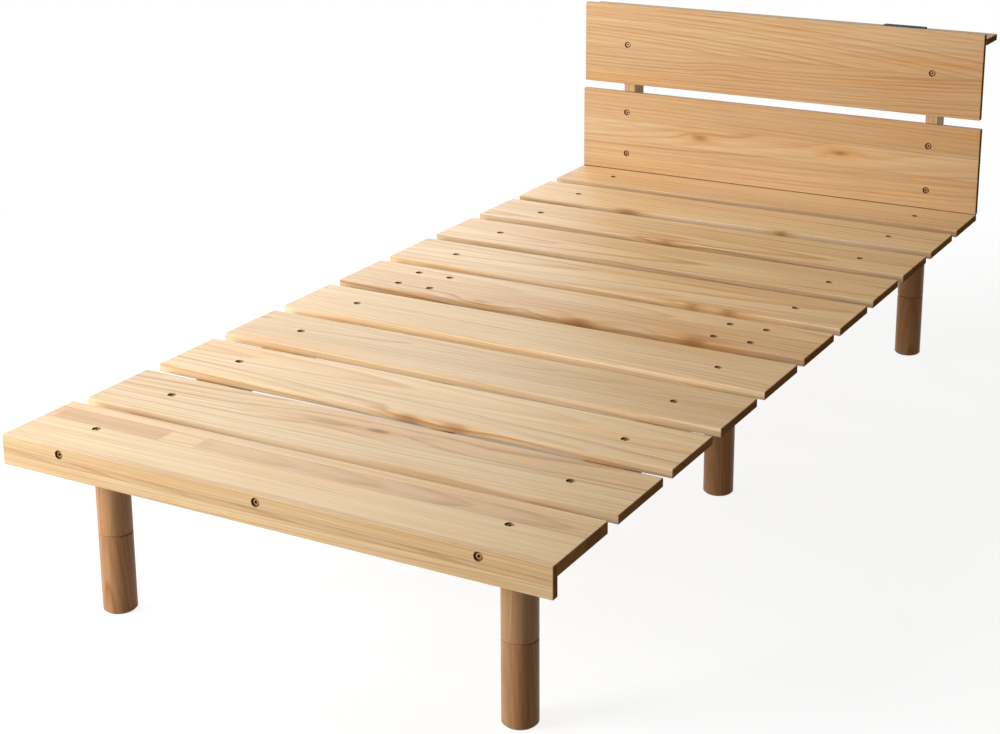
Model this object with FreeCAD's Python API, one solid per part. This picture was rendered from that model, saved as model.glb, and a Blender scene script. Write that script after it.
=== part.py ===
# Single bed frame of pale pine, in millimetres.
# A slatted deck stands on six legs, each in two lengths that screw together. At its head end two posts
# carry a headboard of two boards, and a shelf with an outlet.
# X runs across the bed, Y from the foot to the head, Z up. The origin is on the floor, under the middle of
# the whole bed.
import FreeCAD, Part
import os

from FreeCAD import Vector

# Deck
bed_width = 980.0
slat_count = 11
slat_width = 151.0
slat_gap = 33.9
slat_thickness = 15.0
foot_slat_thickness = 20.0

# Foot apron, a board on edge in front of the foot slat and the rails
apron_thickness = 13.0

# Side rails, each in two halves, and the splice blocks that join the halves
rail_inset = 116.0
rail_width = 72.0
rail_height = 30.0
splice_width = 72.0
splice_length = 250.0

# Headboard, its posts and the shelf behind its top; the lower board stands on the edge of the last slat, and
# the upper board is a little shorter at both ends
headboard_thickness = 14.0
headboard_overlap = 8.0
low_board_height = 195.0
high_board_height = 191.0
high_board_inset = 3.5
headboard_gap = 20.0
post_width = 28.0
post_depth = 50.0
shelf_thickness = 14.0
shelf_depth = 73.0
shelf_drop = 10.5

# Outlet set into the shelf
outlet_length = 98.0
outlet_width = 26.0
outlet_rise = 7.0
outlet_rim = 4.0
outlet_depth = 36.0
outlet_corner = 4.0
outlet_bevel = 1.2
outlet_clearance = 0.3
outlet_post_gap = 21.0
socket_pitch = 48.0
slot_length = 8.0
slot_width = 2.0
slot_spacing = 12.7
slot_depth = 5.0
gland_diameter = 12.0
gland_length = 8.0
gland_bore = 7.0
gland_recess = 3.0
gland_inset = 18.0

# Legs
leg_diameter = 56.0
upper_leg_length = 136.5
lower_leg_length = 136.5
seam_bevel = 2.0
foot_bevel = 3.0
foot_leg_inset = 104.0
head_leg_inset = 84.0

# Eased edges of the boards
edge_round = 1.2
end_bevel = 1.0

# Wood screws, each with its head sunk in a wider round recess
screw_head_diameter = 11.0
screw_head_height = 3.0
screw_shank_diameter = 5.0
screw_recess_diameter = 15.0
screw_sink = 2.2
screw_web = 1.5
board_screw_bite = 24.0
middle_row_spacing = 77.0
shelf_screw_spacing = 24.0
low_screw_rise = 43.0
high_screw_drop = 50.0
apron_screw_share = 0.4

# Hanger bolts and threaded inserts of the legs
hanger_diameter = 8.0
hanger_embed = 40.0
hanger_tip_length = 8.0
hanger_tip_diameter = 3.0
hanger_bevel = 1.0
insert_diameter = 12.0
insert_length = 15.0
insert_spare = 1.0

# Connector bolts and their barrel nuts
connector_diameter = 6.0
connector_length = 90.0
connector_tail = 5.0
connector_head_diameter = 10.0
connector_head_height = 6.0
connector_sink = 1.0
nut_diameter = 10.0
nut_length = 14.0
post_bolt_shares = (0.27, 0.73)
splice_bolt_shares = (-0.4, -0.24, 0.24, 0.4)

# Fits: round a fixed fastener, round a bolt's head, round a bolt that unscrews, past a blind end, past a face
fastener_clearance = 0.1
head_clearance = 0.4
thread_clearance = 0.3
end_room = 0.5
overrun = 1.0

# Heights above the floor
seam_height = lower_leg_length
rail_bottom = lower_leg_length + upper_leg_length
rail_top = rail_bottom + rail_height
deck_top = rail_top + slat_thickness
foot_slat_top = rail_top + foot_slat_thickness
low_board_top = deck_top + low_board_height
high_board_bottom = low_board_top + headboard_gap
headboard_top = high_board_bottom + high_board_height
shelf_top = headboard_top - shelf_drop
shelf_bottom = shelf_top - shelf_thickness

# Places along the bed
deck_length = slat_count * slat_width + (slat_count - 1) * slat_gap
whole_length = apron_thickness + deck_length - headboard_overlap + headboard_thickness + shelf_depth
foot_end = -whole_length / 2
deck_foot = foot_end + apron_thickness
deck_middle = deck_foot + deck_length / 2
deck_head = deck_foot + deck_length
headboard_front = deck_head - headboard_overlap
post_front = headboard_front + headboard_thickness
post_middle = post_front + post_depth / 2
post_back = post_front + post_depth
shelf_middle = post_front + shelf_depth / 2

# Places across the bed, from the middle outwards
rail_x = bed_width / 2 - rail_inset
rail_inner = rail_x - rail_width / 2
splice_x = rail_inner - splice_width / 2
splice_inner = rail_inner - splice_width
outlet_x = rail_x - post_width / 2 - outlet_post_gap - outlet_length / 2

# Lengths that follow from what the fasteners hold
slat_screw_bite = rail_height - insert_length - insert_spare - screw_web - end_room
hanger_proud = insert_length - insert_spare
connector_reach = connector_length - connector_tail

x_axis = Vector(1, 0, 0)
y_axis = Vector(0, 1, 0)
z_axis = Vector(0, 0, 1)
parallel_limit = 1e-6
full_turn = 360
middle_slat = slat_count // 2
sides = (("left", -1), ("right", 1))

pieces = {}
groups = {"slat_screws": [], "board_screws": [], "connector_bolts": [], "barrel_nuts": [], "rail_inserts": []}


# Basic forms

def parallel(a, b):
    """Whether two unit vectors lie along one line."""
    return a.cross(b).Length < parallel_limit


def edges_along(solid, axis):
    """The straight edges of a box that run along an axis."""
    return [edge for edge in solid.Edges if parallel(edge.tangentAt(edge.FirstParameter), axis)]


def board(low, size, grain):
    """A plank with rounded long edges and bevelled ends; grain is the unit vector along it."""
    plank = Part.makeBox(size.x, size.y, size.z, low)
    plank = plank.makeFillet(edge_round, edges_along(plank, grain))
    flats = [face for face in plank.Faces if face.Surface.TypeId == "Part::GeomPlane"]
    ends = [face for face in flats if parallel(face.Surface.Axis, grain)]
    return plank.makeChamfer(end_bevel, [edge for face in ends for edge in face.Edges])


def block(middle, length, width, height, corner):
    """A box with rounded upright edges, centred over a point at its bottom."""
    low = middle - Vector(length / 2, width / 2, 0)
    solid = Part.makeBox(length, width, height, low)
    return solid.makeFillet(corner, edges_along(solid, z_axis))


def rod(diameter, length, start, axis):
    """A round bar from a point along an axis."""
    return Part.makeCylinder(diameter / 2, length, start, axis)


def turned(outline, at):
    """A turned solid on an upright axis, from radius and height pairs listed from the bottom to the top."""
    points = [Vector(radius, 0, height) for radius, height in outline]
    points = [Vector(0, 0, points[0].z)] + points + [Vector(0, 0, points[-1].z)]
    profile = Part.Face(Part.makePolygon(points + points[:1]))
    solid = profile.revolve(Vector(0, 0, 0), z_axis, full_turn)
    solid.translate(at)
    return solid


def drill(names, tool):
    """Cut one tool out of each named piece."""
    for name in names:
        pieces[name] = pieces[name].cut(tool)


# Fasteners, each with its hole

def fasten(group, names, at, drive, thickness, bite):
    """Drive a screw at a point of a board's face, through the board and into what is behind it."""
    length = thickness - screw_sink + bite
    seat = at + drive * screw_sink
    head = rod(screw_head_diameter, screw_head_height, seat, drive)
    groups[group].append(head.fuse(rod(screw_shank_diameter, length, seat, drive)).removeSplitter())
    mouth_depth = overrun + screw_sink + screw_head_height
    mouth = rod(screw_recess_diameter, mouth_depth, at - drive * overrun, drive)
    shaft = rod(screw_shank_diameter + 2 * fastener_clearance, length + end_room, seat, drive)
    drill(names, mouth.fuse(shaft))


def connect(names, seat, drive, recess, nut_piece, nut_mouth, nut_axis):
    """Join two pieces with a connector bolt and a barrel nut.

    The bolt's head sits on seat, recess below the face that it is let into. The nut lies across the bolt, in
    a hole that starts at nut_mouth in one of the pieces.
    """
    head_start = seat - drive * connector_head_height
    head = rod(connector_head_diameter, connector_head_height, head_start, drive)
    bolt = head.fuse(rod(connector_diameter, connector_length, seat, drive)).removeSplitter()
    groups["connector_bolts"].append(bolt)
    mouth_depth = recess + overrun
    mouth = rod(connector_head_diameter + 2 * head_clearance, mouth_depth, seat - drive * mouth_depth, drive)
    shaft = rod(connector_diameter + 2 * fastener_clearance, connector_length + end_room, seat, drive)
    drill(names, mouth.fuse(shaft))
    nut_middle = seat + drive * connector_reach
    nut = rod(nut_diameter, nut_length, nut_middle - nut_axis * (nut_length / 2), nut_axis)
    groups["barrel_nuts"].append(nut.cut(shaft))
    hole_depth = overrun + (nut_middle - nut_mouth).dot(nut_axis) + nut_length / 2
    hole_start = nut_mouth - nut_axis * overrun
    drill([nut_piece], rod(nut_diameter + 2 * fastener_clearance, hole_depth, hole_start, nut_axis))


def insert(at):
    """A threaded insert that opens downwards at a point, with the bore that a hanger bolt screws into."""
    sleeve = rod(insert_diameter, insert_length, at, z_axis)
    return sleeve.cut(rod(hanger_diameter + 2 * thread_clearance, insert_length, at, z_axis))


def insert_hole(at):
    """The hole for an insert in the underside of a piece of wood."""
    depth = overrun + insert_length + insert_spare
    return rod(insert_diameter + 2 * fastener_clearance, depth, at - z_axis * overrun, z_axis)


def hanger_bolt(at):
    """A bolt whose pointed wood thread is sunk in a leg's top and whose machine thread stands proud of it."""
    radius = hanger_diameter / 2
    outline = [
        (hanger_tip_diameter / 2, -hanger_embed),
        (radius, -hanger_embed + hanger_tip_length),
        (radius, hanger_proud - hanger_bevel),
        (radius - hanger_bevel, hanger_proud),
    ]
    return turned(outline, at)


def hanger_hole(at):
    """The hole for a hanger bolt in the top of a leg."""
    depth = hanger_embed + end_room + overrun
    return rod(hanger_diameter + 2 * fastener_clearance, depth, at + z_axis * overrun, -z_axis)


# Sub-parts

def slat_name(index):
    """The name of a slat, counted from the foot."""
    return f"slat_{index + 1:02d}"


def slat_middle(index):
    """A slat's centre line along the bed."""
    return deck_foot + index * (slat_width + slat_gap) + slat_width / 2


def slat_depth(index):
    """A slat's thickness: the one at the foot is thicker than the rest."""
    return slat_thickness if index else foot_slat_thickness


def add_deck():
    """The slats and the apron in front of them."""
    for index in range(slat_count):
        low = Vector(-bed_width / 2, slat_middle(index) - slat_width / 2, rail_top)
        pieces[slat_name(index)] = board(low, Vector(bed_width, slat_width, slat_depth(index)), x_axis)
    low = Vector(-bed_width / 2, foot_end, rail_bottom)
    pieces["foot_apron"] = board(low, Vector(bed_width, apron_thickness, foot_slat_top - rail_bottom), x_axis)


def add_rails():
    """Two side rails in halves that meet under the middle slat, and the splice blocks beside them."""
    halves = (("foot", deck_foot, deck_middle), ("head", deck_middle, post_front))
    for side, sign in sides:
        for half, start, end in halves:
            low = Vector(sign * rail_x - rail_width / 2, start, rail_bottom)
            pieces[f"rail_{side}_{half}"] = board(low, Vector(rail_width, end - start, rail_height), y_axis)
        low = Vector(sign * splice_x - splice_width / 2, deck_middle - splice_length / 2, rail_bottom)
        pieces[f"splice_{side}"] = board(low, Vector(splice_width, splice_length, rail_height), y_axis)


def add_headboard():
    """The two boards, the posts behind them and the shelf on the posts."""
    boards = (
        ("headboard_lower", bed_width, deck_top, low_board_height),
        ("headboard_upper", bed_width - 2 * high_board_inset, high_board_bottom, high_board_height),
    )
    for name, width, bottom, height in boards:
        low = Vector(-width / 2, headboard_front, bottom)
        pieces[name] = board(low, Vector(width, headboard_thickness, height), x_axis)
    post_size = Vector(post_width, post_depth, shelf_bottom - rail_bottom)
    for side, sign in sides:
        low = Vector(sign * rail_x - post_width / 2, post_front, rail_bottom)
        pieces[f"post_{side}"] = board(low, post_size, z_axis)
    shelf_size = Vector(bed_width, shelf_depth, shelf_thickness)
    pieces["shelf"] = board(Vector(-bed_width / 2, post_front, shelf_bottom), shelf_size, x_axis)


def add_outlet():
    """A twin outlet: a housing let into the shelf, and a face with blade slots on top of it."""
    top = Vector(outlet_x, shelf_middle, shelf_top)
    length = outlet_length - 2 * outlet_rim
    width = outlet_width - 2 * outlet_rim
    bottom = top - z_axis * outlet_depth
    gland_top = bottom + x_axis * (length / 2 - gland_inset)
    housing = block(bottom, length, width, outlet_depth, outlet_corner)
    housing = housing.fuse(rod(gland_diameter, gland_length, gland_top, -z_axis))
    gland_end = gland_top - z_axis * gland_length
    housing = housing.cut(rod(gland_bore, gland_recess, gland_end, z_axis))
    pieces["outlet_housing"] = housing
    cut_length = length + 2 * outlet_clearance
    cut_width = width + 2 * outlet_clearance
    cut_corner = outlet_corner + outlet_clearance
    drill(["shelf"], block(bottom, cut_length, cut_width, outlet_depth + overrun, cut_corner))
    face = block(top, outlet_length, outlet_width, outlet_rise, outlet_corner)
    rim = max(face.Faces, key=lambda flat: flat.CenterOfMass.z)
    face = face.makeChamfer(outlet_bevel, rim.Edges)
    for socket_side in (-1, 1):
        for slot_side in (-1, 1):
            offset = socket_side * socket_pitch / 2 + slot_side * slot_spacing / 2
            low = top + Vector(offset - slot_width / 2, -slot_length / 2, outlet_rise - slot_depth)
            face = face.cut(Part.makeBox(slot_width, slot_length, slot_depth + overrun, low))
    pieces["outlet_face"] = face


def add_legs():
    """Six legs, each an upper and a lower length with a hanger bolt in its top."""
    stations = (
        ("foot", rail_x, deck_foot + foot_leg_inset, "rail_{}_foot"),
        ("middle", splice_x, deck_middle, "splice_{}"),
        ("head", rail_x, deck_head - head_leg_inset, "rail_{}_head"),
    )
    radius = leg_diameter / 2
    lower_outline = [
        (radius - foot_bevel, 0),
        (radius, foot_bevel),
        (radius, lower_leg_length - seam_bevel),
        (radius - seam_bevel, lower_leg_length),
    ]
    upper_outline = [
        (radius - seam_bevel, 0),
        (radius, seam_bevel),
        (radius, upper_leg_length - seam_bevel),
        (radius - seam_bevel, upper_leg_length),
    ]
    for station, reach, y, carrier in stations:
        for side, sign in sides:
            leg = f"{station}_{side}"
            floor = Vector(sign * reach, y, 0)
            seam = floor + z_axis * seam_height
            top = floor + z_axis * rail_bottom
            pieces[f"lower_leg_{leg}"] = turned(lower_outline, floor).cut(hanger_hole(seam))
            pieces[f"lower_leg_bolt_{leg}"] = hanger_bolt(seam)
            upper_length = turned(upper_outline, seam).cut(hanger_hole(top))
            pieces[f"upper_leg_{leg}"] = upper_length.cut(insert_hole(seam))
            pieces[f"upper_leg_insert_{leg}"] = insert(seam)
            pieces[f"upper_leg_bolt_{leg}"] = hanger_bolt(top)
            groups["rail_inserts"].append(insert(top))
            drill([carrier.format(side)], insert_hole(top))


def screw_deck():
    """Screws down through the slats, and through the apron into the foot slat's edge."""
    for index in range(slat_count):
        depth = slat_depth(index)
        for side, sign in sides:
            places = [(rail_x, slat_middle(index))]
            if index == middle_slat:
                rows = [slat_middle(index) + end * middle_row_spacing / 2 for end in (-1, 1)]
                places = [(reach, y) for reach in (rail_x, splice_x) for y in rows]
            for reach, y in places:
                rail = f"rail_{side}_foot" if y < deck_middle else f"rail_{side}_head"
                carrier = rail if reach == rail_x else f"splice_{side}"
                at = Vector(sign * reach, y, rail_top + depth)
                fasten("slat_screws", [slat_name(index), carrier], at, -z_axis, depth, slat_screw_bite)
    height = rail_top + apron_screw_share * foot_slat_thickness
    for x in (-rail_x, 0, rail_x):
        at = Vector(x, foot_end, height)
        fasten("board_screws", ["foot_apron", slat_name(0)], at, y_axis, apron_thickness, board_screw_bite)


def screw_headboard():
    """Screws through the boards into the posts, and down through the shelf into the posts' tops."""
    heights = (
        ("headboard_lower", deck_top + low_screw_rise),
        ("headboard_lower", low_board_top - high_screw_drop),
        ("headboard_upper", high_board_bottom + high_board_height / 2),
    )
    for side, sign in sides:
        post = f"post_{side}"
        for name, height in heights:
            at = Vector(sign * rail_x, headboard_front, height)
            fasten("board_screws", [name, post], at, y_axis, headboard_thickness, board_screw_bite)
        for end in (-1, 1):
            at = Vector(sign * rail_x, post_middle + end * shelf_screw_spacing / 2, shelf_top)
            fasten("board_screws", ["shelf", post], at, -z_axis, shelf_thickness, board_screw_bite)


def connect_frame():
    """Connector bolts from the posts into the rails' ends, and from the splice blocks into the rails."""
    post_recess = connector_head_height + connector_sink
    splice_seat = rail_x - connector_reach
    for side, sign in sides:
        outwards = x_axis * sign
        for share in post_bolt_shares:
            height = rail_bottom + share * rail_height
            seat = Vector(sign * rail_x, post_back - post_recess, height)
            mouth = Vector(sign * rail_inner, seat.y - connector_reach, height)
            rail = f"rail_{side}_head"
            connect([f"post_{side}", rail], seat, -y_axis, post_recess, rail, mouth, outwards)
        for share in splice_bolt_shares:
            y = deck_middle + share * splice_length
            seat = Vector(sign * splice_seat, y, rail_bottom + rail_height / 2)
            mouth = Vector(sign * rail_x, y, rail_bottom)
            rail = f"rail_{side}_foot" if y < deck_middle else f"rail_{side}_head"
            connect([f"splice_{side}", rail], seat, outwards, splice_seat - splice_inner, rail, mouth, z_axis)


add_deck()
add_rails()
add_headboard()
add_outlet()
add_legs()
screw_deck()
screw_headboard()
connect_frame()
for group, solids in groups.items():
    pieces[group] = Part.makeCompound(solids)

os.makedirs("parts", exist_ok=True)
for name, shape in pieces.items():
    shape.exportStep(f"parts/{name}.step")
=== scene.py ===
# Looks of the bed frame: pale pine boards and legs, bronzed screws, plated bolts and a black outlet.
# Lengths are in metres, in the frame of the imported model: X across the bed, Y from foot to head, Z up.
import math

import bmesh
import bpy
from mathutils import Matrix, Vector


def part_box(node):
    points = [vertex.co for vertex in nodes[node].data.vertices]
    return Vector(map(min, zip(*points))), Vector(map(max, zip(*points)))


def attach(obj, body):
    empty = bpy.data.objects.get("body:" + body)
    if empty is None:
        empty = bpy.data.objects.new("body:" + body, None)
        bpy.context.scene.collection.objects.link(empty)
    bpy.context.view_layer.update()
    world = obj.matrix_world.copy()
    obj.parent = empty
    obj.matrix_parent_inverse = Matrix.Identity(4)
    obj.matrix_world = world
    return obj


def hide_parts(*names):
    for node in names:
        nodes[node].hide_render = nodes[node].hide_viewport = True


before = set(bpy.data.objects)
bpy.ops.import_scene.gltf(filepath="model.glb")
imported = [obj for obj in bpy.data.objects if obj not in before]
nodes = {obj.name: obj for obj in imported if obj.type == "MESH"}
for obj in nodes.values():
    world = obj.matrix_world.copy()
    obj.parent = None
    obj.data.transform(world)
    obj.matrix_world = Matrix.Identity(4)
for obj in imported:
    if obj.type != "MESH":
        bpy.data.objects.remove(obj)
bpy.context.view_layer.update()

# Camera, in a frame 1000 pixels wide
image_width = 1000
focal_pixels = 1887.6
sensor_width = 36.0
camera_place = (1.56505, -3.07243, 1.44428)
camera_turn = math.radians(28.610)
camera_dip = math.radians(15.372)
camera_roll = math.radians(-0.097)
camera_shift = (-0.03277, -0.15602)

# Lights: place, target, width, height, watts and colour of each lamp, and the even fill's strength and colour
cool = (0.90, 1.0, 1.07)
neutral = (0.98, 1.0, 1.03)
warm = (1.0, 0.82, 0.60, 1.0)
lamps = {
    "key": ((-2.3, 0.0, 2.0), (0.0, 0.0, 0.3), 1.8, 1.8, 70.0, neutral),
    "front_left": ((-2.2, -3.2, 1.2), (0.0, 0.0, 0.4), 1.6, 1.6, 155.0, neutral),
    "sheen": ((-2.4, 2.6, 1.35), (-0.3, -0.2, 0.3), 1.7, 1.3, 21.0, cool),
}
fill_strength = 0.15
white = (1.0, 1.0, 1.0, 1.0)

# Floor: its colour for the light it sends up, its colour where it is seen, how much of its own shading shows
# near the bed, the distances over which that fades into plain white, and a painted shadow, a glowing grey
# deep under the bed: where it starts, where it is full and where it stops, across the bed and along it
floor_reach = 30.0
floor_colour = (0.5, 0.5, 0.5, 1.0)
floor_bright = (1.6, 1.6, 1.6, 1.0)
floor_shadow_share = 0.12
shadow_fade_start = 1.4
shadow_fade_end = 2.4
painted_shadow_sides = (-0.84, -0.24, 0.05, 0.20)
painted_shadow_ends = (-0.58, 0.0, 0.28, 1.04)
painted_shadow_grey = (0.36, 0.34, 0.31, 1.0)

# Screen colours: their white, and the curve between them and linear light
screen_white = 255.0
toe_limit = 0.04045
toe_slope = 12.92
curve_lift = 0.055
curve_scale = 1.055
curve_power = 2.4

# Numbers that look random: the weights of what they come from, how widely they scatter, and which draws place
# the heart of a strip and that of an inlay
chance_weights = (12.9898, 78.233, 37.719)
chance_scatter = 43758.5453
strip_draws = (1, 2)
inlay_draws = (3, 4)

# Wood colours as seen on screen, and tints that are multiplied into them
pale_pine = (233, 204, 159)
golden_pine = (193, 146, 94)
mark_brown = (140, 84, 44)
# The brown of painted shade in the screw recesses and along a board's seat line
painted_shade_brown = (66, 42, 26)
latewood_tint_shares = (0.72, 0.53, 0.35, 1.0)
amber_tint_shares = (0.95, 0.80, 0.60, 1.0)
rosy_tint_shares = (1.0, 0.98, 0.96, 1.0)
end_grain_tint_shares = (0.55, 0.40, 0.25, 1.0)
# A bluish tint that pales the narrow edges: painted light
painted_edge_tint_shares = (1.0, 1.02, 1.12, 1.0)
leg_tint_shares = (1.03, 0.92, 0.90, 1.0)

# Wood grain: distances across the grain, how often each pattern repeats in a metre along and across it, how
# steeply the heart runs out of a plain board, how fine the noises are, the relief and the reach of the seeds
fine_rings = 0.0045
plain_rings = 0.009
ring_offset_reach = 0.10
ring_depth_least = 0.035
ring_depth_reach = 0.11
ring_waver = 0.010
ring_jitter = 0.0016
ring_uneven_rate = 40.0
ring_uneven_reach = 1.5
waver_rates = (1.6, 9.0)
jitter_rates = (9.0, 70.0)
streak_rates = (2.5, 240.0)
fibre_rates = (22.0, 1100.0)
patch_rates = (2.2, 17.0)
rosy_rates = (1.1, 8.0)
plain_tilt = 0.03
plain_detail = 2.0
streak_detail = 3.0
grain_relief = 0.00025
seed_reach = 9.0

# Wood grain: the part of each noise that shows, and how strongly each pattern shows, from its least to its
# most
noise_shares = (0.25, 0.75)
noise_middle_share = 0.5
ring_stop_shares = ((0.0, 0.0), (0.45, 0.12), (0.86, 1.0), (1.0, 0.0))
year_shares = (0.2, 1.0)
ring_strength_shares = (0.5, 1.25)
streak_shares = (0.82, 1.10)
fibre_shares = (0.90, 1.06)
amber_noise_shares = (0.46, 0.74)
amber_most_share = 0.7
amber_halo_share = 1.3
rosy_noise_shares = (0.42, 0.62)
ring_relief_share = 0.4
wood_roughness_shares = (0.46, 0.36)
wood_gloss_share = 0.17
end_grain_gloss_share = 0.0

# Marks in the wood: knots and swirls, as shares of their radius
mark_squeeze_share = 0.30
mark_ragged_share = 2.2
mark_swell_share = 0.9
mark_near_shares = (0.4, 4.5)
mark_core_shares = (0.0, 1.5)

# How squarely a face has to look along the grain, from where it starts to count as a cut end to where it does
board_end_shares = (0.6, 0.8)
lower_leg_end_shares = (0.8, 0.95)

# Painted shade in drilled recesses round sunk screws, and along the line where a board stands on another
recess_radius = 0.0077
recess_lip = 0.0004
recess_shade_share = 0.35
seat_shade_share = 0.8

# Glue lines between strips: half their width, and how strongly they show
glue_line = 0.0007
glue_line_share = 0.3

# Metal and plastic: how often their grain repeats in a metre, how fine it is, its relief and how it shows
metal_grain_rate = 900.0
metal_detail = 3.0
metal_relief = 0.00002
metal_worn_shares = (0.35, 0.75)
plastic_grain_rate = 2600.0
plastic_detail = 2.0
plastic_relief = 0.00004
plastic_shade_shares = (0.8, 1.25)

# Metal and plastic: colours as seen on screen, plain and worn, and the least and most roughness
bronze_look = dict(colour=(176, 138, 98), dark=(96, 70, 46), roughness_shares=(0.32, 0.48))
# The socket's darker bronze is painted shade inside the hexagon hole
socket_shade_look = dict(colour=(58, 42, 30), dark=(34, 26, 20), roughness_shares=(0.44, 0.60))
plated_look = dict(colour=(206, 205, 200), dark=(168, 167, 164), roughness_shares=(0.22, 0.38))
plastic_look = dict(colour=(14, 14, 14), roughness_shares=(0.50, 0.64))

# Round forms: points in a ring, sides of a socket, and the least angle that stays sharp
round_sides = 24
hexagon_sides = 6
sharp_angle = math.radians(28)

# Headed fasteners: their heads' heights, the turn from each socket to the next, the pitch of their threads,
# and shares of the head's radius or height, of the shank's radius and of the length
screw_head_height = 0.003
bolt_head_height = 0.006
socket_turn = 2.4
screw_look = dict(
    bevel_share=0.14, socket_share=0.40, socket_depth_share=0.70, socket_cone_share=0.3, tip_share=0.15,
    tip_height_share=1.6, core_share=0.66, neck_share=0.12, pitch=0.0024,
)
bolt_look = dict(
    bevel_share=0.10, socket_share=0.52, socket_depth_share=0.55, socket_cone_share=0.3, tip_share=0.75,
    tip_height_share=0.4, core_share=0.82, neck_share=0.65, pitch=0.0012,
)

# Hanger bolts: their threads, shares of their radius, and the plain collar between the threads: the wood
# thread's end and the collar's two rings lie that many collar heights below the leg's top
machine_pitch = 0.00125
machine_core_share = 0.85
wood_pitch = 0.003
wood_core_share = 0.68
wood_point_share = 0.34
collar_height = 0.003
wood_end_share = 2.0
collar_shares = (1.8, 0.2)
bolt_bevel = 0.0008

# Points this close are one point, points this close in height lie in one plane, and solids are put in order
# by places rounded to this many digits
touching = 1e-6
level = 1e-5
order_digits = 4

# Rows in a matrix that turns and moves
matrix_size = 4


def linear(colour):
    """A screen colour, 0 to 255, as linear light with alpha."""
    light = []
    for channel in colour:
        share = channel / screen_white
        curved = ((share + curve_lift) / curve_scale) ** curve_power
        light.append(share / toe_slope if share <= toe_limit else curved)
    return (*light, 1.0)


def grey(share):
    """A grey as linear light with alpha."""
    return (share, share, share, 1.0)


def chance(*keys):
    """A steady number from 0 to 1 that looks random, from a few numbers."""
    mixed = math.sin(sum(key * weight for key, weight in zip(keys, chance_weights))) * chance_scatter
    return mixed - math.floor(mixed)


class Graph:
    """The shading nodes of a material or world, and short calls that each add one and return its output."""

    def __init__(self, owner):
        self.owner = owner
        owner.use_nodes = True
        self.tree = owner.node_tree
        self.tree.nodes.clear()

    def put(self, socket, value):
        """Link a socket to another node's output, or set it to a constant."""
        if isinstance(value, bpy.types.NodeSocket):
            self.tree.links.new(value, socket)
        else:
            socket.default_value = value

    def add(self, kind, inputs, **settings):
        """A node with some settings and inputs, the inputs given by name or number."""
        node = self.tree.nodes.new(kind)
        for key, value in settings.items():
            setattr(node, key, value)
        for key, value in inputs.items():
            self.put(node.inputs[key], value)
        return node

    def math(self, operation, *values):
        """The result of one sum."""
        return self.add("ShaderNodeMath", dict(enumerate(values)), operation=operation).outputs[0]

    def combine(self, *parts):
        """A vector from its parts."""
        return self.add("ShaderNodeCombineXYZ", dict(enumerate(parts))).outputs[0]

    def separate(self, vector):
        """The three parts of a vector."""
        return self.add("ShaderNodeSeparateXYZ", {0: vector}).outputs

    def length(self, vector):
        """A vector's length."""
        return self.add("ShaderNodeVectorMath", {0: vector}, operation="LENGTH").outputs["Value"]

    def scaled(self, colour, factor):
        """A colour made lighter or darker."""
        inputs = {"Vector": colour, "Scale": factor}
        return self.add("ShaderNodeVectorMath", inputs, operation="SCALE").outputs["Vector"]

    def noise(self, place, rates, seed, detail=plain_detail):
        """Soft noise from 0 to 1, stretched along the grain."""
        along, across, through = place
        rate_along, rate_across = rates
        vector = self.combine(
            self.math("MULTIPLY", along, rate_along),
            self.math("MULTIPLY", across, rate_across),
            self.math("MULTIPLY", through, rate_across),
        )
        inputs = {"Vector": vector, "W": seed, "Scale": 1.0, "Detail": detail}
        return self.add("ShaderNodeTexNoise", inputs, noise_dimensions="4D").outputs["Fac"]

    def cloud(self, rate, detail):
        """Even noise from 0 to 1, on the piece's own coordinates."""
        place = self.add("ShaderNodeTexCoord", {}).outputs["Object"]
        inputs = {"Vector": place, "Scale": rate, "Detail": detail}
        return self.add("ShaderNodeTexNoise", inputs).outputs["Fac"]

    def spread(self, value, low, high, to_low=0.0, to_high=1.0, soft=False):
        """A value from one range moved into another, and kept inside it."""
        inputs = {0: value, 1: low, 2: high, 3: to_low, 4: to_high}
        kind = "SMOOTHSTEP" if soft else "LINEAR"
        return self.add("ShaderNodeMapRange", inputs, interpolation_type=kind).outputs[0]

    def band(self, value, stops):
        """A share that rises softly to 1 between the first two stops and falls between the last two."""
        start, full, still, end = stops
        rise = self.spread(value, start, full, soft=True)
        return self.math("MULTIPLY", rise, self.spread(value, still, end, 1.0, 0.0, soft=True))

    def mix(self, share, first, second, blend="MIX"):
        """Two colours mixed, or the second multiplied into the first, by a share."""
        # The node has sockets for each kind of value: those for colours are inputs 6 and 7 and output 2
        inputs = {0: share, 6: first, 7: second}
        return self.add("ShaderNodeMix", inputs, data_type="RGBA", blend_type=blend).outputs[2]

    def ramp(self, value, stops, kind="LINEAR"):
        """A colour for each value, from stops of place and colour."""
        node = self.add("ShaderNodeValToRGB", {0: value})
        elements = node.color_ramp.elements
        node.color_ramp.interpolation = kind
        for place, colour in stops[len(elements):]:
            elements.new(place)
        for element, (place, colour) in zip(elements, stops):
            element.position = place
            element.color = colour
        return node.outputs["Color"]

    def bump(self, height, distance):
        """The normals of a surface with fine relief, from a height between 0 and 1."""
        return self.add("ShaderNodeBump", {"Distance": distance, "Height": height}).outputs["Normal"]

    def blend(self, share, first, second):
        """Two shaders mixed by a share."""
        return self.add("ShaderNodeMixShader", {0: share, 1: first, 2: second}).outputs[0]

    def show(self, shader, kind="ShaderNodeOutputMaterial"):
        """Send a shader to the output."""
        self.add(kind, {"Surface": shader})

    def finish(self, **inputs):
        """End with the common shader, its inputs given by name, and return the material."""
        named = {name.replace("_", " "): value for name, value in inputs.items()}
        self.show(self.add("ShaderNodeBsdfPrincipled", named).outputs[0])
        return self.owner


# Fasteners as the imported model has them

def points_box(points):
    """The lowest and highest corners of some points."""
    low = Vector(min(point[axis] for point in points) for axis in range(3))
    high = Vector(max(point[axis] for point in points) for axis in range(3))
    return low, high


def points_middle(points):
    """The middle of the box round some points."""
    low, high = points_box(points)
    return (low + high) / 2


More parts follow.
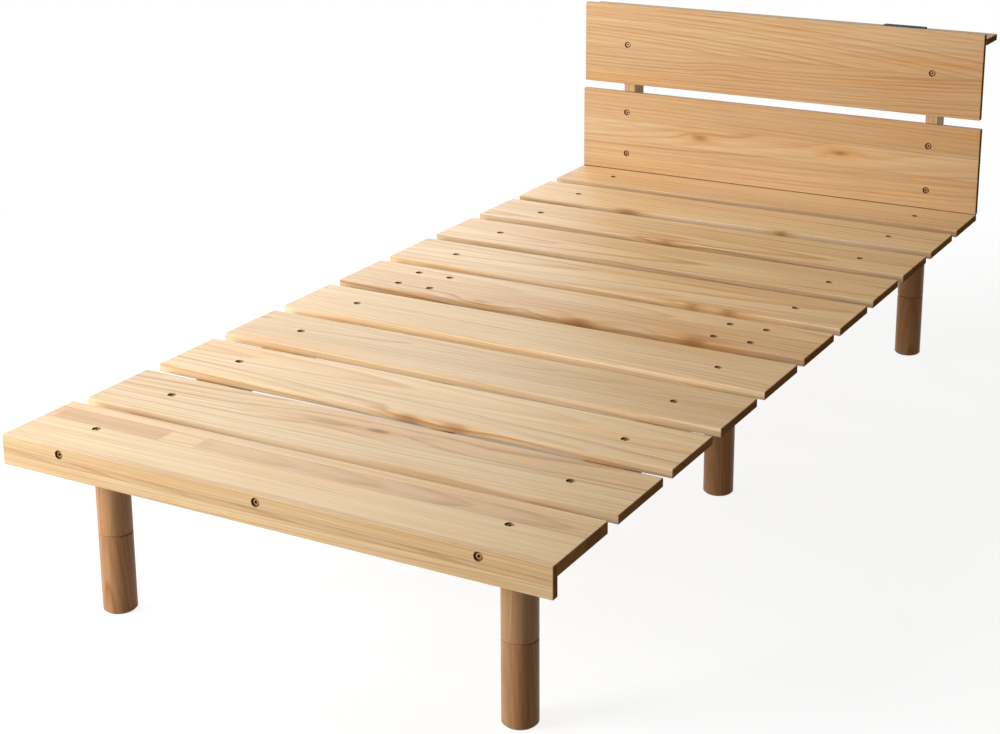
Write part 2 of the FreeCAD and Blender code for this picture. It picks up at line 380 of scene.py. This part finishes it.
def islands(name):
    """The corner points of each separate solid in a node."""
    mesh = bmesh.new()
    mesh.from_mesh(nodes[name].data)
    bmesh.ops.remove_doubles(mesh, verts=mesh.verts, dist=touching)
    left = set(mesh.verts)
    found = []
    while left:
        group = [left.pop()]
        for vertex in group:
            beside = {edge.other_vert(vertex) for edge in vertex.link_edges} & left
            left -= beside
            group.extend(beside)
        found.append([vertex.co.copy() for vertex in group])
    mesh.free()

    def order(points):
        return tuple(round(value, order_digits) for value in points_middle(points))

    return sorted(found, key=order)


def fastener(points):
    """Where a headed fastener starts, the way it points, and its length and radii, from its corner points."""
    low, high = points_box(points)
    size = high - low
    axis = max(range(3), key=lambda number: size[number])
    middle = (low + high) / 2
    ends = []
    for end, sign in ((low[axis], 1), (high[axis], -1)):
        centre = middle.copy()
        centre[axis] = end
        radius = max((point - centre).length for point in points if abs(point[axis] - end) < level)
        ends.append((radius, end, sign))
    (shank_radius, _, _), (head_radius, head_end, sign) = sorted(ends)
    start = middle.copy()
    start[axis] = head_end
    drive = Vector(sign if number == axis else 0 for number in range(3))
    return start, drive, size[axis], head_radius, shank_radius


screws = [fastener(points) for name in ("slat_screws", "board_screws") for points in islands(name)]


# Pine

board_axes = {"x_flat": (0, 1, 2), "x_upright": (0, 2, 1), "y_flat": (1, 0, 2), "z": (2, 0, 1)}
ring_stops = [(place, grey(share)) for place, share in ring_stop_shares]


def screw_places(name, axes):
    """Where screws are sunk into a board: their places along and across it, from its middle."""
    low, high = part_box(name)
    middle = (low + high) / 2
    along, across, through = board_axes[axes]
    found = []
    for start, drive, _, _, _ in screws:
        inside = all(low[axis] <= start[axis] <= high[axis] for axis in range(3))
        if inside and drive[through]:
            found.append((start[along] - middle[along], start[across] - middle[across]))
    return found


def pine(name, axes, seed, tones, widths=(1.0,), shade=1.0, hearts=None, rings=plain_rings, tilt=plain_tilt,
         contrast=1.0, edge=1.0, tint=white, ends=board_end_shares, marks=(), inlays=(), seat=0.0):
    """A pine material for one node.

    The piece is glued from strips side by side: tones holds a warmth from pale to golden for each strip, and
    widths their widths as shares. Shade scales the whole piece's colour, and on the legs it is painted shade.
    Hearts say where the heart of each strip's log lies, across the piece and below it, as shares of its
    reach.
    Rings is the spacing of the growth rings, and tilt how steeply the heart runs out of the piece. Edge
    paints light or shade on its narrow edges, lightening or darkening them, and tint colours the whole piece.
    Ends say from which slope a face is a cut end. A mark is a knot or a swirl: its place along and across the
    board from its middle, its radius and how dark it is.
    length let into a strip: its start and end along the board, its start and end across it, and its tone.
    Seat is the height of the painted shade line where the low edge of a board stands on another piece.
    """
    graph = Graph(bpy.data.materials.new("pine_" + name))
    low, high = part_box(name)
    middle = (low + high) / 2
    _, width, thickness = ((high - low)[axis] for axis in board_axes[axes])
    coordinates = graph.add("ShaderNodeTexCoord", {}).outputs
    inputs = {0: coordinates["Object"], 1: middle}
    parts = graph.separate(graph.add("ShaderNodeVectorMath", inputs, operation="SUBTRACT").outputs[0])
    along, across, through = place = [parts[axis] for axis in board_axes[axes]]

    # Each strip comes from its own place in its log
    stops = []
    side = 0.0
    glue = 0.0
    for index, (tone, share) in enumerate(zip(tones, widths)):
        heart = hearts[index] if hearts else [chance(seed, index, draw) for draw in strip_draws]
        stops.append((side, (*heart, tone, 1.0)))
        if index:
            line = graph.math("COMPARE", across, width * side - width / 2, glue_line)
            glue = graph.math("MAXIMUM", glue, line)
        side += share
    if len(stops) == 1:
        stops.append((1.0, stops[0][1]))
    strip = graph.ramp(graph.spread(across, -width / 2, width / 2), stops, "CONSTANT")
    for index, (start, end, near, far, tone) in enumerate(inlays):
        beside = graph.math("COMPARE", along, (start + end) / 2, (end - start) / 2)
        within = graph.math("COMPARE", across, (near + far) / 2, (far - near) / 2)
        inlay = (*(chance(seed, index, draw) for draw in inlay_draws), tone, 1.0)
        strip = graph.mix(graph.math("MULTIPLY", beside, within), strip, inlay)
    offset, depth, tone = graph.add("ShaderNodeSeparateColor", {0: strip}).outputs
    strip_seed = graph.math("MULTIPLY_ADD", offset, seed_reach, seed)

    # Distance from the heart of the log, which makes the growth rings
    waver = graph.noise(place, waver_rates, strip_seed)
    jitter = graph.noise(place, jitter_rates, strip_seed)
    heart_across = graph.spread(offset, 0.0, 1.0, -ring_offset_reach, ring_offset_reach)
    heart_depth = graph.spread(depth, 0.0, 1.0, ring_depth_least, ring_depth_reach)
    below = graph.math("ADD", through, graph.math("MULTIPLY_ADD", along, tilt, heart_depth))
    radius = graph.length(graph.combine(graph.math("SUBTRACT", across, heart_across), below, 0.0))
    radius = graph.math("MULTIPLY_ADD", waver, ring_waver, radius)
    radius = graph.math("MULTIPLY_ADD", jitter, ring_jitter, radius)
    ragged = graph.math("MULTIPLY", graph.math("SUBTRACT", jitter, noise_middle_share), mark_ragged_share)
    core = 0.0
    halo = 0.0
    for mark_along, mark_across, mark_radius, darkness in marks:
        beside = graph.math("MULTIPLY", graph.math("SUBTRACT", along, mark_along), mark_squeeze_share)
        reach = graph.length(graph.combine(beside, graph.math("SUBTRACT", across, mark_across), 0.0))
        reach = graph.math("ADD", graph.math("DIVIDE", reach, mark_radius), ragged)
        near = graph.spread(reach, *mark_near_shares, 1.0, 0.0, soft=True)
        radius = graph.math("MULTIPLY_ADD", near, mark_swell_share * mark_radius, radius)
        core = graph.math("MAXIMUM", core, graph.spread(reach, *mark_core_shares, darkness, 0.0, soft=True))
        halo = graph.math("MAXIMUM", halo, graph.math("MULTIPLY", near, darkness))
    inputs = {"W": radius, "Scale": ring_uneven_rate}
    uneven = graph.add("ShaderNodeTexNoise", inputs, noise_dimensions="1D").outputs["Fac"]
    turns = graph.math("MULTIPLY_ADD", uneven, ring_uneven_reach, graph.math("DIVIDE", radius, rings))
    ring = graph.math("FRACT", turns)
    inputs = {"W": graph.math("ADD", graph.math("FLOOR", turns), seed)}
    year = graph.add("ShaderNodeTexWhiteNoise", inputs, noise_dimensions="1D").outputs["Value"]
    late = graph.math("MULTIPLY", graph.ramp(ring, ring_stops), graph.spread(year, 0.0, 1.0, *year_shares))

    # Colour: warmth, growth rings, amber and rosy patches, streaks, fibres, edges, knots and glue lines
    streak = graph.noise(place, streak_rates, strip_seed, streak_detail)
    fibre = graph.noise(place, fibre_rates, seed)
    patch = graph.noise(place, patch_rates, strip_seed)
    other_patch = graph.noise(place, patch_rates, graph.math("ADD", strip_seed, seed_reach))
    strength = graph.spread(other_patch, *noise_shares, *ring_strength_shares)
    colour = graph.mix(tone, linear(pale_pine), linear(golden_pine))
    colour = graph.mix(1.0, colour, tint, "MULTIPLY")
    ring_share = graph.math("MULTIPLY", graph.math("MULTIPLY", late, strength), contrast)
    colour = graph.mix(ring_share, colour, latewood_tint_shares, "MULTIPLY")
    amber = graph.spread(patch, *amber_noise_shares, 0.0, amber_most_share)
    amber = graph.math("MULTIPLY_ADD", halo, amber_halo_share, amber)
    colour = graph.mix(amber, colour, amber_tint_shares, "MULTIPLY")
    rosy = graph.spread(graph.noise(place, rosy_rates, strip_seed), *rosy_noise_shares)
    colour = graph.mix(rosy, colour, rosy_tint_shares, "MULTIPLY")
    colour = graph.scaled(colour, graph.spread(streak, *noise_shares, *streak_shares))
    facing = [graph.math("ABSOLUTE", part) for part in graph.separate(coordinates["Normal"])]
    cut_end, narrow_edge, _ = (graph.spread(facing[axis], *ends) for axis in board_axes[axes])
    shades = [shade * share for share in fibre_shares]
    colour = graph.scaled(colour, graph.spread(fibre, *noise_shares, *shades))
    # Painted light and shade: narrow edges are lightened or darkened and paled for how the light falls on
    # them
    colour = graph.scaled(colour, graph.spread(narrow_edge, 0.0, 1.0, 1.0, edge))
    colour = graph.mix(narrow_edge, colour, painted_edge_tint_shares, "MULTIPLY")
    colour = graph.mix(core, colour, linear(mark_brown))
    colour = graph.mix(graph.math("MULTIPLY", glue, glue_line_share), colour, linear(mark_brown))
    # Painted shade: a dark line along the low edge where the board stands on another piece
    if seat:
        line = graph.math("LESS_THAN", across, seat - width / 2)
        colour = graph.mix(graph.math("MULTIPLY", line, seat_shade_share), colour, linear(painted_shade_brown))
    colour = graph.mix(cut_end, colour, end_grain_tint_shares, "MULTIPLY")

    # Painted shade: the wood in the drilled recess round a sunk screw is darkened, as if in shade
    sunk = graph.math("LESS_THAN", graph.math("ABSOLUTE", through), thickness / 2 - recess_lip)
    for screw_along, screw_across in screw_places(name, axes):
        away = [graph.math("SUBTRACT", along, screw_along), graph.math("SUBTRACT", across, screw_across)]
        pit = graph.math("LESS_THAN", graph.length(graph.combine(*away, 0.0)), recess_radius)
        recess_shade = graph.math("MULTIPLY", graph.math("MULTIPLY", pit, sunk), recess_shade_share)
        colour = graph.mix(recess_shade, colour, linear(painted_shade_brown))

    # Satin finish that sinks a little into the softer wood
    relief = graph.math("MULTIPLY_ADD", ring, ring_relief_share, fibre)
    return graph.finish(
        Base_Color=colour,
        Roughness=graph.spread(streak, *noise_shares, *wood_roughness_shares),
        Specular_IOR_Level=graph.spread(cut_end, 0.0, 1.0, wood_gloss_share, end_grain_gloss_share),
        Normal=graph.bump(relief, grain_relief),
    )


def dress(name, material):
    """Give a node one material all over."""
    mesh = nodes[name].data
    mesh.materials.clear()
    mesh.materials.append(material)


# Edge above 1 paints light and below 1 paints shade on narrow edges: the apron's top, slats' fronts, posts'
# sides
boards = {
    "foot_apron": dict(
        axes="x_upright", tones=(0.14, 0.46, 0.16), widths=(0.42, 0.16, 0.42), shade=0.86, rings=fine_rings,
        contrast=0.75, edge=1.2,
    ),
    "slat_01": dict(
        axes="x_flat", tones=(0.0, 0.46, 0.04), widths=(0.56, 0.28, 0.16), shade=1.08, rings=fine_rings,
        inlays=((-0.473, -0.259, 0.010, 0.052, 0.66), (-0.259, -0.193, 0.010, 0.052, 0.04)),
    ),
    "slat_02": dict(
        axes="x_flat", tones=(0.0, 0.16), widths=(0.55, 0.45), edge=1.06,
        marks=((-0.075, 0.025, 0.014, 0.42), (0.017, 0.029, 0.006, 0.9), (0.09, 0.034, 0.010, 0.3)),
    ),
    "slat_03": dict(
        axes="x_flat", tones=(0.10, 0.03), widths=(0.40, 0.60), shade=1.07,
        marks=((0.02, -0.077, 0.007, 0.5), (0.11, -0.077, 0.006, 0.4)),
    ),
    "slat_04": dict(
        axes="x_flat", tones=(0.14, 0.28, 0.18), widths=(0.30, 0.45, 0.25), rings=fine_rings, edge=1.15,
    ),
    "slat_05": dict(
        axes="x_flat", tones=(0.10, 0.14), widths=(0.50, 0.50), shade=1.03, rings=fine_rings, edge=1.2,
    ),
    "slat_06": dict(
        axes="x_flat", tones=(0.42, 0.22), widths=(0.60, 0.40), shade=1.05, edge=0.88,
        marks=((-0.171, -0.065, 0.007, 0.5), (0.046, -0.073, 0.009, 0.7), (0.275, -0.072, 0.009, 0.7)),
    ),
    "slat_07": dict(
        axes="x_flat", tones=(0.22, 0.10, 0.28), widths=(0.25, 0.45, 0.30), shade=1.05, edge=1.08,
        marks=((0.194, -0.074, 0.006, 0.6), (0.267, -0.074, 0.006, 0.6)),
    ),
    "slat_08": dict(
        axes="x_flat", tones=(0.18, 0.26), widths=(0.60, 0.40), shade=1.06, contrast=1.3, edge=0.84,
    ),
    "slat_09": dict(
        axes="x_flat", tones=(0.12, 0.24, 0.14), widths=(0.40, 0.35, 0.25), shade=1.08, contrast=1.3,
        edge=0.80, marks=((-0.029, -0.073, 0.008, 0.6),),
    ),
    "slat_10": dict(
        axes="x_flat", tones=(0.04, 0.10), widths=(0.50, 0.50), shade=1.12, contrast=1.3, edge=0.78,
        marks=((-0.213, -0.073, 0.008, 0.6), (0.157, -0.073, 0.004, 0.6)),
    ),
    "slat_11": dict(
        axes="x_flat", tones=(0.20, 0.10), widths=(0.45, 0.55), shade=1.08, contrast=1.2, edge=0.80,
    ),
    "headboard_lower": dict(
        axes="x_upright", tones=(0.58, 0.42, 0.64), widths=(0.38, 0.27, 0.35), shade=0.97, tilt=0.05,
        contrast=0.75,
        marks=((-0.183, 0.005, 0.006, 0.6), (0.169, 0.008, 0.006, 0.7)), seat=0.0022,
    ),
    "headboard_upper": dict(
        axes="x_upright", tones=(0.66, 0.54), widths=(0.48, 0.52), shade=0.98, tilt=0.10,
        hearts=((1.0, 0.0), (0.0, 1.0)), marks=((-0.128, -0.030, 0.008, 0.0),),
    ),
    "shelf": dict(axes="x_flat", tones=(0.55, 0.62), widths=(0.5, 0.5)),
}
bed_sides = ("left", "right")
for side in bed_sides:
    boards["post_" + side] = dict(axes="z", tones=(0.4,), edge=1.3)
    boards["splice_" + side] = dict(axes="y_flat", tones=(0.6,))
    for half in ("foot", "head"):
        boards[f"rail_{side}_{half}"] = dict(axes="y_flat", tones=(0.65,))
# Painted shade that darkens the legs under the deck, most at the foot and least at the head
leg_painted_shades = {"foot": 0.69, "middle": 0.79, "head": 0.90}
leg_looks = {
    "upper": dict(axes="z", tones=(0.65,), tint=leg_tint_shares, tilt=0.06),
    "lower": dict(axes="z", tones=(0.80,), tint=leg_tint_shares, tilt=0.10, ends=lower_leg_end_shares),
}
legs = []
for station, shade in leg_painted_shades.items():
    for side in bed_sides:
        leg = f"{station}_{side}"
        legs.append(leg)
        for length, look in leg_looks.items():
            boards[f"{length}_leg_{leg}"] = dict(look, shade=shade)
for number, (name, look) in enumerate(boards.items()):
    dress(name, pine(name, seed=float(number + 1), **look))


# Metal and plastic

def metal(name, colour, dark, roughness_shares):
    """A plated metal, darker in worn specks, with a fine grain."""
    graph = Graph(bpy.data.materials.new(name))
    cloud = graph.cloud(metal_grain_rate, metal_detail)
    return graph.finish(
        Base_Color=graph.mix(graph.spread(cloud, *metal_worn_shares), linear(colour), linear(dark)),
        Roughness=graph.spread(cloud, *noise_shares, *roughness_shares),
        Metallic=1.0,
        Normal=graph.bump(cloud, metal_relief),
    )


def plastic(name, colour, roughness_shares):
    """Matt moulded plastic with a fine spark-eroded grain."""
    graph = Graph(bpy.data.materials.new(name))
    speck = graph.cloud(plastic_grain_rate, plastic_detail)
    shades = [linear([channel * share for channel in colour]) for share in plastic_shade_shares]
    return graph.finish(
        Base_Color=graph.mix(speck, *shades),
        Roughness=graph.spread(speck, *noise_shares, *roughness_shares),
        Specular_IOR_Level=wood_gloss_share,
        Normal=graph.bump(speck, plastic_relief),
    )


bronze = metal("bronzed_steel", **bronze_look)
bronze_shaded_socket = metal("bronzed_steel_socket_painted_shade", **socket_shade_look)
plated = metal("plated_steel", **plated_look)
black = plastic("black_plastic", **plastic_look)
for name in ("outlet_housing", "outlet_face"):
    dress(name, black)
for name in ["barrel_nuts", "rail_inserts"] + ["upper_leg_insert_" + leg for leg in legs]:
    dress(name, plated)


# Fasteners with their threads and sockets

def ring(mesh, radius, height, sides=round_sides):
    """A ring of corner points round the Z axis."""
    turns = [math.tau * step / sides for step in range(sides)]
    return [mesh.verts.new((radius * math.cos(turn), radius * math.sin(turn), height)) for turn in turns]


def hexagon(mesh, apothem, height, sides=round_sides):
    """A hexagon with as many points as a ring, round the Z axis."""
    corner = math.tau / hexagon_sides
    found = []
    for step in range(sides):
        turn = math.tau * step / sides
        reach = apothem / math.cos((turn + corner / 2) % corner - corner / 2)
        found.append(mesh.verts.new((reach * math.cos(turn), reach * math.sin(turn), height)))
    return found


def bridge(mesh, first, second, material=0):
    """A band of faces between two rings of as many points."""
    count = len(first)
    for step in range(count):
        after = (step + 1) % count
        mesh.faces.new((first[step], first[after], second[after], second[step])).material_index = material


def chain(mesh, rings):
    """Bands of faces between rings that follow each other."""
    for first, second in zip(rings, rings[1:]):
        bridge(mesh, first, second)


def thread(mesh, low, high, pitch, root, crest, sides=round_sides):
    """A screw thread round the Z axis, fading out at both ends. Returns its lowest and highest rings."""
    steps = int((high - low) / pitch - 1) * sides
    rise = (high - low) / (steps + sides)

    def point(radius, step, height):
        turn = math.tau * step / sides
        return mesh.verts.new((radius * math.cos(turn), radius * math.sin(turn), height))

    roots = [point(root, step, low + rise * step) for step in range(steps + sides + 1)]
    crests = []
    for step in range(steps + 1):
        fade = min(1.0, step / sides, (steps - step) / sides)
        crests.append(point(root + (crest - root) * fade, step, low + rise * (step + sides / 2)))
    for step in range(steps):
        mesh.faces.new((roots[step], roots[step + 1], crests[step + 1], crests[step]))
        mesh.faces.new((crests[step], crests[step + 1], roots[step + 1 + sides], roots[step + sides]))
    bottom = [roots[0]] + [point(root, step, low) for step in range(1, sides)]
    mesh.faces.new((bottom[0], bottom[1], roots[1]))
    for step in range(1, sides - 1):
        mesh.faces.new((bottom[step], bottom[step + 1], roots[step + 1], roots[step]))
    mesh.faces.new((bottom[-1], roots[0], crests[0], roots[sides], roots[sides - 1]))
    top = [roots[-1]] + [point(root, steps + step, high) for step in range(1, sides)]
    mesh.faces.new((roots[steps], roots[steps + 1], top[1], top[0], crests[-1]))
    for step in range(1, sides - 1):
        mesh.faces.new((roots[steps + step], roots[steps + step + 1], top[step + 1], top[step]))
    mesh.faces.new((roots[steps + sides - 1], top[0], top[-1]))
    turned = steps % sides
    return bottom, top[sides - turned:] + top[:sides - turned]


def cap(mesh, points, height, material=0):
    """A cone of faces from a ring to a point on the axis."""
    tip = mesh.verts.new((0, 0, height))
    for step, point in enumerate(points):
        after = points[(step + 1) % len(points)]
        mesh.faces.new((point, after, tip)).material_index = material


def finish_mesh(mesh, name, materials, body, node):
    """Turn a built mesh into a piece that stands for a node and moves with a body."""
    bmesh.ops.recalc_face_normals(mesh, faces=mesh.faces)
    data = bpy.data.meshes.new(name)
    mesh.to_mesh(data)
    mesh.free()
    data.shade_smooth()
    data.set_sharp_from_angle(angle=sharp_angle)
    for material in materials:
        data.materials.append(material)
    piece = bpy.data.objects.new(name, data)
    bpy.context.scene.collection.objects.link(piece)
    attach(piece, body)
    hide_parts(node)


def headed(mesh, length, head_radius, shank_radius, head_height, look):
    """A headed fastener with a hexagon socket: its head's top on the origin, pointing down."""
    bevel = look["bevel_share"] * head_radius
    socket = look["socket_share"] * head_radius
    depth = look["socket_depth_share"] * head_height
    tip = look["tip_share"] * shank_radius
    tip_height = look["tip_height_share"] * shank_radius
    core = look["core_share"] * shank_radius
    neck = head_height + look["neck_share"] * length
    top = hexagon(mesh, socket, 0.0)
    floor = hexagon(mesh, socket, -depth)
    rim = ring(mesh, head_radius - bevel, 0.0)
    shoulder = ring(mesh, head_radius, -bevel)
    seat = ring(mesh, head_radius, -head_height)
    neck_top = ring(mesh, shank_radius, -head_height)
    neck_end = ring(mesh, shank_radius, -neck)
    low, high = thread(mesh, -length + tip_height, -neck - bevel, look["pitch"], core, shank_radius)
    end = ring(mesh, tip, -length)
    cap(mesh, floor, -depth - look["socket_cone_share"] * socket, material=1)
    bridge(mesh, floor, top, material=1)
    chain(mesh, (top, rim, shoulder, seat, neck_top, neck_end, high))
    chain(mesh, (low, end))
    cap(mesh, end, -length)


def headed_set(name, node, materials, head_height, look):
    """All the headed fasteners of one node as one piece, each socket turned its own way."""
    mesh = bmesh.new()
    for index, points in enumerate(islands(node)):
        start, drive, length, head_radius, shank_radius = fastener(points)
        one = bmesh.new()
        headed(one, length, head_radius, shank_radius, head_height, look)
        turn = Matrix.Rotation(index * socket_turn, matrix_size, "Z")
        aim = Vector((0, 0, -1)).rotation_difference(drive).to_matrix().to_4x4()
        one.transform(Matrix.Translation(start) @ aim @ turn)
        spare = bpy.data.meshes.new("spare")
        one.to_mesh(spare)
        one.free()
        mesh.from_mesh(spare)
        bpy.data.meshes.remove(spare)
    finish_mesh(mesh, name, materials, "frame", node)


# Socket faces take the second material, which for the screws is painted shade in the hole
for name in ("slat_screw", "board_screw"):
    materials = (bronze, bronze_shaded_socket)
    headed_set(name + "_set", name + "s", materials, screw_head_height, screw_look)
materials = (plated, plated)
headed_set("connector_bolt_set", "connector_bolts", materials, bolt_head_height, bolt_look)


def hanger_bolt(leg, length):
    """A leg length's hanger bolt: a wood thread in the leg and a machine thread above it."""
    node = f"{length}_leg_bolt_{leg}"
    low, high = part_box(node)
    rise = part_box(f"{length}_leg_{leg}")[1].z - low.z
    top = high.z - low.z
    radius = (high.x - low.x) / 2
    machine_core = machine_core_share * radius
    wood_core = wood_core_share * radius
    mesh = bmesh.new()
    point = ring(mesh, wood_point_share * radius, 0.0)
    wood_end = rise - wood_end_share * collar_height
    wood_low, wood_high = thread(mesh, radius, wood_end, wood_pitch, wood_core, radius)
    collar = [ring(mesh, radius, rise - collar_height * share) for share in collar_shares]
    bolt_low, bolt_high = thread(mesh, rise, top - bolt_bevel, machine_pitch, machine_core, radius)
    end = ring(mesh, machine_core - bolt_bevel, top)
    cap(mesh, point, 0.0)
    chain(mesh, (point, wood_low))
    chain(mesh, (wood_high, *collar, bolt_low))
    chain(mesh, (bolt_high, end))
    cap(mesh, end, top)
    mesh.transform(Matrix.Translation(((low.x + high.x) / 2, (low.y + high.y) / 2, low.z)))
    body = f"{leg}_{length}_length"
    finish_mesh(mesh, f"{length}_hanger_bolt_{leg}", (plated,), body, node)


for leg in legs:
    for length in leg_looks:
        hanger_bolt(leg, length)


# Floor, light and camera

def seen_share(graph):
    """1 for rays that show the background: to the camera, in gloss and through glass."""
    path = graph.add("ShaderNodeLightPath", {}).outputs
    seen = graph.math("MAXIMUM", path["Is Camera Ray"], path["Is Glossy Ray"])
    return graph.math("MAXIMUM", seen, path["Is Transmission Ray"])


def make_floor():
    """A white floor with a soft shadow, and a painted shadow beneath the bed, that is clear from below."""
    mesh = bmesh.new()
    corners = [(-1, -1), (1, -1), (1, 1), (-1, 1)]
    mesh.faces.new([mesh.verts.new((x * floor_reach, y * floor_reach, 0.0)) for x, y in corners])
    data = bpy.data.meshes.new("floor")
    mesh.to_mesh(data)
    mesh.free()
    floor = bpy.data.objects.new("floor", data)
    bpy.context.scene.collection.objects.link(floor)
    graph = Graph(bpy.data.materials.new("floor_white"))
    plain = graph.add("ShaderNodeBsdfDiffuse", {"Color": floor_colour}).outputs[0]
    bright = graph.add("ShaderNodeBsdfDiffuse", {"Color": floor_bright}).outputs[0]
    glow = graph.add("ShaderNodeEmission", {"Color": white, "Strength": 1.0}).outputs[0]
    clear = graph.add("ShaderNodeBsdfTransparent", {}).outputs[0]
    geometry = graph.add("ShaderNodeNewGeometry", {}).outputs
    reach = graph.length(geometry["Position"])
    shadow = graph.spread(reach, shadow_fade_start, shadow_fade_end, floor_shadow_share, 0.0, soft=True)
    x, y, _ = graph.separate(geometry["Position"])
    # Painted shadow: a glowing grey sheet of colour deep under the bed, where the bed would shade the floor
    under = graph.math("MULTIPLY", graph.band(x, painted_shadow_sides), graph.band(y, painted_shadow_ends))
    dark = graph.add("ShaderNodeEmission", {"Color": painted_shadow_grey, "Strength": 1.0}).outputs[0]
    shown = graph.blend(under, graph.blend(shadow, glow, bright), dark)
    above = graph.blend(seen_share(graph), plain, shown)
    graph.show(graph.blend(geometry["Backfacing"], above, clear))
    data.materials.append(graph.owner)


def make_world():
    """An even fill light, white where the background shows."""
    world = bpy.data.worlds.new("studio")
    bpy.context.scene.world = world
    graph = Graph(world)
    fill = graph.add("ShaderNodeBackground", {"Color": warm, "Strength": fill_strength}).outputs[0]
    shown = graph.add("ShaderNodeBackground", {"Color": white, "Strength": 1.0}).outputs[0]
    graph.show(graph.blend(seen_share(graph), fill, shown), "ShaderNodeOutputWorld")


def make_lamp(name, place, target, width, height, watts, colour):
    """A rectangular soft light that faces a point."""
    data = bpy.data.lights.new(name, "AREA")
    data.shape = "RECTANGLE"
    data.size = width
    data.size_y = height
    data.energy = watts
    data.color = colour
    lamp = bpy.data.objects.new(name, data)
    lamp.location = place
    lamp.rotation_euler = (Vector(target) - Vector(place)).to_track_quat("-Z", "Y").to_euler()
    bpy.context.scene.collection.objects.link(lamp)


def make_camera():
    """The camera, where the photograph was taken from."""
    data = bpy.data.cameras.new("camera")
    data.sensor_fit = "HORIZONTAL"
    data.sensor_width = sensor_width
    data.lens = focal_pixels * sensor_width / image_width
    data.shift_x, data.shift_y = camera_shift
    camera = bpy.data.objects.new("camera", data)
    turn = Matrix.Rotation(camera_turn, matrix_size, "Z")
    dip = Matrix.Rotation(math.pi / 2 - camera_dip, matrix_size, "X")
    roll = Matrix.Rotation(camera_roll, matrix_size, "Z")
    camera.matrix_world = Matrix.Translation(camera_place) @ turn @ dip @ roll
    bpy.context.scene.collection.objects.link(camera)
    bpy.context.scene.camera = camera


make_floor()
make_world()
for name, setting in lamps.items():
    make_lamp(name, *setting)
make_camera()
bpy.context.scene.view_settings.view_transform = "Standard"
